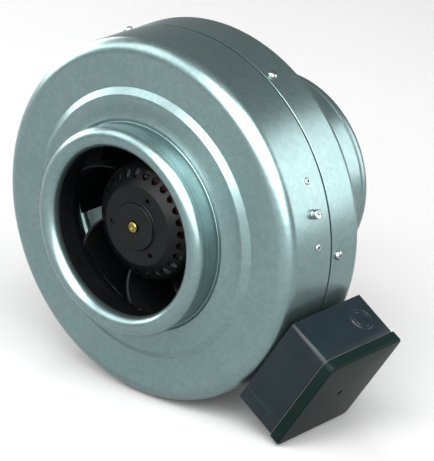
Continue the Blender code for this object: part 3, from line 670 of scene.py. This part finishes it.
def make_rear_casing():
    """The outlet half: drum, rounded shoulder, cone, spigot and rolled lip."""
    lip = (OUTLET_Y - LIP_R, SPIGOT_R - LIP_R)
    shoulder = (REAR_EDGE_Y, DRUM_R - REAR_ROUND_R)
    path = [(0.25, DRUM_R - 0.15), (0.6, DRUM_R + 0.05), (2.0, DRUM_R)]
    path += arc(shoulder, REAR_ROUND_R, 0, REAR_CONE_DEG, 10)
    lip_arc = arc(lip, LIP_R, -24, 205, 26)
    crease = lip_arc.pop(0)
    path += rounded([path.pop() + (0,), (OUTLET_ROOT_Y, SPIGOT_ROOT_R + 0.3, 5.0),
                     (crease[0] - 1.0, SPIGOT_ROOT_R + 0.9, 1.2), (*crease, 0)])
    path += lip_arc
    body = lathe(sheet(path, SHEET), ROUND)
    carved = carve(body, ("DIFFERENCE", join(wall_holes("seam_screw_", "box_screw_"))))
    piece("rear_casing_shell", carved, "casing", "rear_casing", GALVANISED, 28)


def cross_recess(x_top, reach_out, width, depth):
    """A cross-shaped driver recess, cut down from x_top."""
    low, high = x_top - depth, x_top + 2
    one = block((low, -reach_out, -width / 2), (high, reach_out, width / 2))
    two = block((low, -width / 2, -reach_out), (high, width / 2, reach_out))
    return one, two


def make_seam_screws():
    """Pan-head screws with a cross recess."""
    seat, top = HEAD_SEAT, HEAD_SEAT + SEAM_HEAD_HEIGHT
    for i in range(6):
        node = f"seam_screw_{i + 1}"
        angle, y = where(node)
        outline = [(DRUM_R - 6, 0), (DRUM_R - 5, 1.2), (DRUM_R - 4.2, 1.9), (seat, 1.9)]
        outline += rounded([(seat, 1.9, 0), (seat, SEAM_HEAD_R, 0.2),
                            (seat + 1.5, SEAM_HEAD_R - 0.2, 1.0), (seat + 2.7, 3.0, 1.5),
                            (top, 1.4, 1.0), (top, 0, 0)], 12)[1:]
        head = lathe(outline, 40, "X")
        one, two = cross_recess(top, 2.1, 0.85, 1.5)
        carved = carve(head, ("DIFFERENCE", one), ("DIFFERENCE", two))
        piece(f"seam_screw_head_{i + 1}", carved, "casing", node, ZINC, 28, angle, y)


def make_support_fixings():
    """Cylinder-head bolts that hold the motor's arms, and a blind rivet on either side."""
    seat, top = HEAD_SEAT, HEAD_SEAT + BOLT_HEAD_HEIGHT
    for i in range(3):
        node = f"support_bolt_{i + 1}"
        angle, y = where(node)
        outline = [(162, 0), (162, 2.0), (162.6, BOLT_SHANK_R), (seat, BOLT_SHANK_R)]
        outline += rounded([(seat, BOLT_SHANK_R, 0), (seat, BOLT_FLANGE_R, 0.15),
                            (seat + 0.6, BOLT_FLANGE_R, 0.2), (seat + 0.6, BOLT_HEAD_R, 0.1),
                            (top - 0.6, BOLT_HEAD_R, 0.3), (top, 3.7, 0.5),
                            (top - 0.3, 2.8, 0.4), (top - 0.4, 0, 0)], 12)[1:]
        head = lathe(outline, 48, "X")
        one, two = cross_recess(top, 2.3, 1.0, 2.2)
        carved = carve(head, ("DIFFERENCE", one), ("DIFFERENCE", two))
        piece(f"support_bolt_head_{i + 1}", carved, "casing", node, ZINC, 28, angle, y)
    for i in range(6):
        node = f"support_rivet_{i + 1}"
        angle, y = where(node)
        outline = rounded([(166.5, 0, 0), (166.5, 2.6, 0.8), (169.9, 2.6, 0.3),
                           (169.9, RIVET_SHANK_R, 0), (seat, RIVET_SHANK_R, 0),
                           (seat, RIVET_HEAD_R, 0.15), (seat + 0.5, RIVET_HEAD_R - 0.2, 0.2),
                           (seat + 1.1, 2.3, 0.5), (seat + 1.15, 1.5, 0.2),
                           (seat - 1.2, RIVET_HOLE_R, 0.1), (seat - 1.2, 0, 0)], 12)
        piece(f"support_rivet_head_{i + 1}", lathe(outline, 32, "X"), "casing", node, ALUMINIUM,
              28, angle, y)


def make_inlet_nozzle():
    """The black ring that leads the air from the lip into the impeller's eye."""
    low, high = span("inlet_nozzle", 1)
    inner, wall, rim = NOZZLE_R, NOZZLE_WALL, NOZZLE_RIM_R
    web, end = low + 8.0, high - 1.0
    outline = rounded([
        (low, inner + 0.9, 0), (low + 3.0, inner, 3.0), (end - 0.9, inner, 0.5),
        (end - 0.2, inner + 0.75, 0.4), (end - 0.9, inner + wall, 0.4),
        (web + wall, inner + wall, 0.4), (web + wall, rim - 1.5, 0.8), (web + 5, rim - 1.5, 0.5),
        (web + 5, rim, 0.5), (web, rim, 0.5), (web, inner + wall, 0.8),
        (low + 0.6, inner + 1.4, 0.3), (low, inner + 0.9, 0)])[:-1]
    piece("inlet_nozzle_ring", lathe(outline, ROUND), "casing", "inlet_nozzle", BLACK)


# ---------------------------------------------------------------- rotor and impeller

def make_rotor_shell():
    """The rotor's can: stepped face, rounded shoulder, three holes and a ring of vents."""
    front, rear = span("rotor_shell", 1)
    out_r = reach("rotor_shell")
    outer = rounded([
        (front + 6.4, 5.3, 0), (front, 5.3, 0.5), (front, 22.0, 0.9), (front + 3.0, 23.2, 1.2),
        (front + 4.1, 37.8, 1.3), (front + 14.5, 52.6, 2.0), (front + 20.0, out_r, 4.0),
        (rear, out_r, 0.3), (rear, out_r - 2, 0.3), (front + 20.6, out_r - 2, 2.0),
        (front + 16.9, 51.9, 1.2), (front + 7.2, 38.2, 1.5), (front + 5.2, 24.6, 1.0),
        (front + 2.2, 20.6, 0.6), (front + 2.0, 9.5, 0.5), (front + 6.4, 9.5, 0.3),
        (front + 6.4, 5.3, 0)])[:-1]
    shell = lathe(outer, 192)
    cutters = []
    holes = ((VENTS, VENT_R, VENT_RING_R, VENT_TURN, front - 4, front + 19),
             (FACE_HOLES, FACE_HOLE_R, FACE_HOLE_RING_R, FACE_HOLE_TURN, front - 2, front + 12))
    for count, radius, ring_r, turn, low, high in holes:
        for i in range(count):
            hole = lathe([(low, 0), (low, radius), (high, radius), (high, 0)], 24)
            cutters.append(shift(hole, ring_r, 0, 0, 360.0 * i / count + turn))
    carved = carve(shell, ("DIFFERENCE", join(cutters)))
    piece("rotor_can", carved, "rotor", "rotor_shell", ROTOR_PAINT, 30)


def make_shaft_end():
    """The brass end of the shaft, with a centre drilling and a chamfered rim."""
    front, rear = span("shaft_end_cap", 1)
    outline = rounded([(front + 1.4, 0, 0), (front, 1.6, 0.2), (front, 4.1, 0.3),
                       (front + 0.7, 5.0, 0.4), (rear, 5.0, 0.1), (rear, 3.3, 0),
                       (front + 1.7, 3.3, 0), (front + 1.7, 0, 0)], 12)
    piece("shaft_end", lathe(outline, 48), "rotor", "shaft_end_cap", BRASS, 25)


def shroud_path():
    """Inner side of the shroud, from the eye to the rim."""
    return rounded([(-72.6, EYE_R, 0), (-62.5, EYE_R, 10.0), (-54.0, 88.5, 30.0),
                    (-38.0, 101.2, 60.0), (-27.0, IMPELLER_R, 0)], 6)


def backplate_path():
    """Front side of the backplate, from its collar to the rim."""
    return rounded([(-11.0, COLLAR_R + 1.8, 0), (-4.5, 64.0, 4.0), (1.2, 75.0, 12.0),
                    (1.8, 82.0, 0), (1.8, IMPELLER_R, 0)], 6)


def height_at(path, radius):
    """The y of a path at a radius."""
    for (y0, r0), (y1, r1) in zip(path, path[1:]):
        if r0 <= radius <= r1 and r1 > r0:
            return y0 + (y1 - y0) * (radius - r0) / (r1 - r0)
    return path[-1][0]


def make_shroud():
    """The impeller's front ring, with a blunt nose at the eye."""
    inner = shroud_path()
    outer = offset(inner, -SHROUD_THICKNESS)
    nose = [(outer[0][0] + 0.3, outer[0][1]), (inner[0][0] - 0.2, EYE_R + 1.2),
            (inner[0][0] - 0.2, EYE_R + 0.6)]
    outline = inner + outer[:0:-1] + nose
    piece("impeller_shroud_ring", lathe(outline, ROUND), "rotor", "impeller_shroud", BLACK, 30)


def make_backplate():
    """The impeller's dished disc and its collar, with a turned bead at its rim."""
    low = span("impeller_backplate", 1)[0]
    front = backplate_path()
    rim = IMPELLER_R
    rear = [(y + 1.6, r - 0.3) for y, r in front[:0:-1]]
    outline = [(low, COLLAR_R), (low, COLLAR_R + 1.3), (low + 0.5, COLLAR_R + 1.8)] + front[:-1]
    outline += [(1.8, rim - 1.6), (1.5, rim - 1.2), (1.5, rim - 0.4), (1.9, rim)]
    outline += [(3.1, rim)] + rear[1:] + [(front[0][0] + 2.6, COLLAR_R)]
    piece("impeller_disc", lathe(outline, ROUND), "rotor", "impeller_backplate", BLACK, 30)


def blade():
    """A backward-curved blade with soft edges; its front edge slopes up to the eye."""
    depth = BLADE_TIP_R - BLADE_ROOT_R
    edge = [(BLADE_ROOT_Y, BLADE_ROOT_R), (BLADE_EYE_Y, EYE_R - 0.3)]
    edge += [(y + 0.8, r) for y, r in shroud_path() if r > EYE_R + 1.0]
    bm = bmesh.new()
    rows = []
    for i in range(BLADE_STATIONS + 1):
        share = i / BLADE_STATIONS
        radius = BLADE_ROOT_R + depth * share
        angle = math.radians(BLADE_SWEEP[0] * share + BLADE_SWEEP[1] * share ** 2)
        turning = math.radians(BLADE_SWEEP[0] + 2 * BLADE_SWEEP[1] * share)
        radial = Vector((math.cos(angle), 0, math.sin(angle)))
        tangent = Vector((-math.sin(angle), 0, math.cos(angle)))
        along = radial * depth + tangent * radius * turning
        across = Vector((-along.z, 0, along.x)).normalized()
        taper = min(1.0, 0.45 + 5 * share, 0.45 + 5 * (1 - share))
        row = []
        for side, is_back in ((1, False), (1, True), (-1, True), (-1, False)):
            spot = radial * radius + across * (side * taper * BLADE_THICKNESS / 2)
            spot.y = height_at(edge, spot.length)
            if is_back:
                spot.y = height_at(backplate_path(), radius) - 0.2
            row.append(bm.verts.new(spot))
        rows.append(row)
    bm.faces.new(rows[0])
    bm.faces.new(rows[-1])
    for near, far in zip(rows, rows[1:]):
        for k in range(4):
            bm.faces.new((near[k], near[(k + 1) % 4], far[(k + 1) % 4], far[k]))
    bmesh.ops.recalc_face_normals(bm, faces=bm.faces)
    rims = [e for e in bm.edges if e.calc_face_angle(0) > math.radians(50)]
    bmesh.ops.bevel(bm, geom=rims, offset=0.35, segments=2, profile=0.5, affect="EDGES")
    return bm


def make_blades():
    for i in range(BLADES):
        piece(f"blade_{i + 1}", blade(), "rotor", f"impeller_blade_{i + 1}", BLACK, 30,
              BLADE_START + 360.0 * i / BLADES)


# ---------------------------------------------------------------- terminal box

def make_knockout(side):
    """The rings and the two tabs of the cable knockout, on the wall at z = side."""
    rings = rounded([(-1.0, 0, 0), (-1.0, KNOCKOUT_R, 0), (0.0, KNOCKOUT_R, 0), (0.9, 11.6, 0.5),
                     (0.9, 10.4, 0.4), (0.15, 9.8, 0.3), (0.15, 9.0, 0.3), (0.75, 8.4, 0.4),
                     (0.75, 7.4, 0.3), (0.45, 6.9, 0.3), (0.45, 0, 0)], 15)
    shapes = [lathe(rings, 64, "X"), block((-0.5, -10.2, -1.1), (0.7, -8.2, 1.1), 0.2),
              block((-0.5, 8.2, -1.1), (0.7, 10.2, 1.1), 0.2)]
    for bm in shapes:
        bmesh.ops.rotate(bm, verts=bm.verts, cent=(0, 0, 0),
                         matrix=Matrix.Rotation(-math.pi / 2, 3, "Y"))
        bmesh.ops.translate(bm, verts=bm.verts, vec=(KNOCKOUT_X, KNOCKOUT_Y, side))
    return shapes


def make_box_base():
    """The tray: thin walls, lid pillar, knockout, and a fine line on its front."""
    side = LID_HALF_WIDTH - LID_OVERHANG
    y0, y1 = LID_FRONT_Y + LID_OVERHANG, LID_REAR_Y - LID_OVERHANG
    wall = BOX_WALL
    outer = rounded_rectangle(y0, y1, -side, side, BOX_CORNER_R, 12)
    body = prism(outer, BOX_BACK_X, BOX_TOP_X, (0.5, 0.4))
    inner = rounded_rectangle(y0 + wall, y1 - wall, -side + wall, side - wall, BOX_INNER_CORNER_R)
    hollow = prism(inner, BOX_FLOOR_X, BOX_TOP_X + 5)
    pillar = lathe([(BOX_FLOOR_X - 1, 0), (BOX_FLOOR_X - 1, 5), (BOX_TOP_X - 0.5, 4.6),
                    (BOX_TOP_X - 0.5, 0)], 32, "X")
    shift(pillar, 0, BOX_MID_Y)
    drills = [drill(0, BOX_MID_Y, LID_BORE_R, BOX_TOP_X - 22, BOX_TOP_X + 2),
              drill(0, LEAD_HOLE_Y, GROMMET_HOLE_R, *BOX_DRILL_SPAN, 40)]
    for i in range(2):
        drills.append(drill(0, where(f"box_screw_{i + 1}")[1], BOX_SCREW_DRILL_R, *BOX_DRILL_SPAN))
    earth_y, earth_z, earth_r = EARTH_DRILL
    drills.append(shift(drill(0, earth_y, earth_r, 173.6, 180), 0, 0, earth_z))
    unions = [("UNION", shape) for shape in [pillar] + make_knockout(side)]
    line = block((BOX_BACK_X + 1.5, y0 - 0.45, FRONT_LINE_Z - 0.5),
                 (FRONT_LINE_END_X, y0 + 1.0, FRONT_LINE_Z + 0.5), 0.3, 3)
    carved = carve(body, ("DIFFERENCE", hollow), *unions, ("UNION", line),
                   ("DIFFERENCE", join(drills)))
    piece("box_base", carved, "casing", "terminal_box_base", BOX_PLASTIC, 24, BOX_ANGLE)


def make_lid():
    """The lid: a shallow cover with soft edges and a sunk screw hole through a boss."""
    low = LID_TOP_X - LID_HEIGHT
    side = LID_HALF_WIDTH
    outer = rounded_rectangle(LID_FRONT_Y, LID_REAR_Y, -side, side, LID_CORNER_R, 12)
    body = prism(outer, low, LID_TOP_X, (0.8, 1.8), 6)
    edge = BOX_WALL + LID_OVERHANG
    inner = rounded_rectangle(LID_FRONT_Y + edge, LID_REAR_Y - edge, -side + edge, side - edge,
                              BOX_INNER_CORNER_R)
    hollow = prism(inner, low - 3, LID_TOP_X - BOX_WALL)
    boss = shift(lathe([(low + 0.3, 0), (low + 0.3, 5.5), (LID_TOP_X - 2, 5.5),
                        (LID_TOP_X - 2, 0)], 32, "X"), 0, BOX_MID_Y)
    bore = shift(lathe([(low - 3, 0), (low - 3, LID_BORE_R), (low + 2.5, LID_BORE_R),
                        (low + 2.5, LID_HEAD_R), (LID_TOP_X - 0.35, LID_HEAD_R),
                        (LID_TOP_X + 0.2, 3.35), (LID_TOP_X + 3, 3.35),
                        (LID_TOP_X + 3, 0)], 40, "X"), 0, BOX_MID_Y)
    carved = carve(body, ("DIFFERENCE", hollow), ("UNION", boss), ("DIFFERENCE", bore))
    piece("box_lid", carved, "casing", "terminal_box_lid", LID_PLASTIC_SHADED, 24, BOX_ANGLE)


def make_gasket():
    """A soft seal with rounded edges between the base and the lid."""
    inset, width = LID_OVERHANG + SEAL_INSET, SEAL_WIDTH
    side = LID_HALF_WIDTH - inset
    y0, y1 = LID_FRONT_Y + inset, LID_REAR_Y - inset
    outer = rounded_rectangle(y0, y1, -side, side, SEAL_CORNER_R)
    inner = rounded_rectangle(y0 + width, y1 - width, -side + width, side - width,
                              SEAL_INNER_CORNER_R)
    seal = prism(outer, BOX_TOP_X + 0.05, BOX_TOP_X + 1.55, (0.35, 0.35))
    window = prism(inner, BOX_TOP_X - 2, BOX_TOP_X + 4)
    piece("box_seal", carve(seal, ("DIFFERENCE", window)), "casing", "box_gasket", RUBBER, 30,
          BOX_ANGLE)


# ---------------------------------------------------------------- the rest keep their CAD shape

def finish_cad_nodes():
    """Give the shapes that keep their CAD form their own finishes, by the start of their name."""
    finishes = {
        "support_arm": GALVANISED, "motor_screw": ZINC, "stator_carrier": CAST,
        "stator_core": LAMINATED, "winding": COPPER, "front_bearing": STEEL,
        "rear_bearing": STEEL, "motor_lead": SHEATH, "cable_grommet": RUBBER,
        "lid_screw": ZINC, "terminal_block": WHITE, "capacitor": ALUMINIUM, "box_screw": ZINC,
        "earth_screw": BRASS, "rotor_core": LAMINATED, "shaft": STEEL, "retaining_ring": STEEL,
        "front_ball": BRASS, "rear_ball": BRASS,
    }
    for name, node in frame["nodes"].items():
        for prefix, finish in finishes.items():
            if name.startswith(prefix):
                node.data.materials.clear()
                node.data.materials.append(finish)


# ---------------------------------------------------------------- stage, light and camera

def make_floor():
    """A plain pale floor under the lowest point of the fan."""
    bm = bmesh.new()
    bmesh.ops.create_grid(bm, x_segments=8, y_segments=8, size=FLOOR_HALF)
    bmesh.ops.translate(bm, verts=bm.verts, vec=(0, 0, CAD_BOX[0][2]))
    floor = as_object("studio_floor", bm)
    made = Shader("studio_floor", 0.9, 0.0)
    clouds = made.noise(3, 2.0)
    made.colour(made.blend(clouds, (0.235, 0.235, 0.235), (0.245, 0.245, 0.245)))
    floor.data.materials.append(made.material)


def make_world():
    """A soft studio, lighter in front of the fan than behind it."""
    world = bpy.data.worlds.new("studio")
    bpy.context.scene.world = world
    world.use_nodes = True
    tree = world.node_tree
    background = tree.nodes["Background"]
    coord = tree.nodes.new("ShaderNodeTexCoord")
    parts = tree.nodes.new("ShaderNodeSeparateXYZ")
    ramp = tree.nodes.new("ShaderNodeMapRange")
    for key, value in (("From Min", -1.0), ("From Max", 1.0),
                       ("To Min", SKY_FRONT), ("To Max", SKY_BACK)):
        ramp.inputs[key].default_value = value
    tree.links.new(coord.outputs["Generated"], parts.inputs["Vector"])
    tree.links.new(parts.outputs["Y"], ramp.inputs["Value"])
    tree.links.new(ramp.outputs["Result"], background.inputs["Strength"])
    background.inputs["Color"].default_value = (1.0, 1.0, 1.0, 1.0)
    bpy.context.scene.view_settings.view_transform = "Standard"


def direction(azimuth, elevation):
    """The unit vector towards an azimuth and elevation in degrees, as seen from the fan."""
    az, el = math.radians(azimuth), math.radians(elevation)
    return Vector((math.sin(az) * math.cos(el), -math.cos(az) * math.cos(el), math.sin(el)))


def add_light(data, spot, aim):
    """Put a light at a spot, facing another."""
    light = bpy.data.objects.new(data.name, data)
    bpy.context.scene.collection.objects.link(light)
    light.location = spot
    light.rotation_euler = (Vector(aim) - Vector(spot)).to_track_quat("-Z", "Y").to_euler()
    return light


def add_softbox(name, azimuth, elevation, distance, size, radiance):
    """A rectangular softbox that faces the fan."""
    data = bpy.data.lights.new(name, "AREA")
    data.shape = "RECTANGLE"
    data.size, data.size_y = size
    data.energy = radiance * math.pi * size[0] * size[1]
    light = add_light(data, direction(azimuth, elevation) * distance, (0, 0, 0))
    light.visible_camera = False


def add_floor_spot():
    """A soft spot that lifts the floor behind the fan and isn't mirrored in the metal."""
    data = bpy.data.lights.new("floor_spot", "SPOT")
    data.energy = FLOOR_SPOT_POWER
    data.spot_size = math.radians(FLOOR_SPOT_DEG)
    data.spot_blend = 1.0
    data.shadow_soft_size = 0.4
    light = add_light(data, FLOOR_SPOT_AT, FLOOR_SPOT_AIM)
    light.visible_glossy = False


def make_lights():
    for softbox in SOFTBOXES:
        add_softbox(*softbox)
    add_floor_spot()


def make_camera():
    """The view that the part is usually shown from: right of the inlet, slightly above."""
    back = direction(CAMERA_AZIMUTH, CAMERA_ELEVATION)
    az = math.radians(CAMERA_AZIMUTH)
    right = Vector((math.cos(az), math.sin(az), 0))
    up = back.cross(right)
    spot = back * CAMERA_DISTANCE + right * CAMERA_SHIFT[0] + up * CAMERA_SHIFT[1]
    roll = Matrix.Rotation(-math.radians(CAMERA_ROLL), 3, "Y")
    axes = Matrix((roll @ right, roll @ up, roll @ back)).transposed()
    data = bpy.data.cameras.new("camera")
    data.sensor_fit = "VERTICAL"
    data.sensor_height = CAMERA_SENSOR
    data.lens = CAMERA_LENS
    camera = bpy.data.objects.new("camera", data)
    bpy.context.scene.collection.objects.link(camera)
    camera.matrix_world = Matrix.Translation(roll @ spot) @ axes.to_4x4()
    bpy.context.scene.camera = camera


make_camera()
make_floor()
make_world()
make_lights()
make_front_casing()
make_rear_casing()
make_seam_screws()
make_support_fixings()
make_inlet_nozzle()
make_rotor_shell()
make_shaft_end()
make_shroud()
make_backplate()
make_blades()
make_box_base()
make_lid()
make_gasket()
finish_cad_nodes()
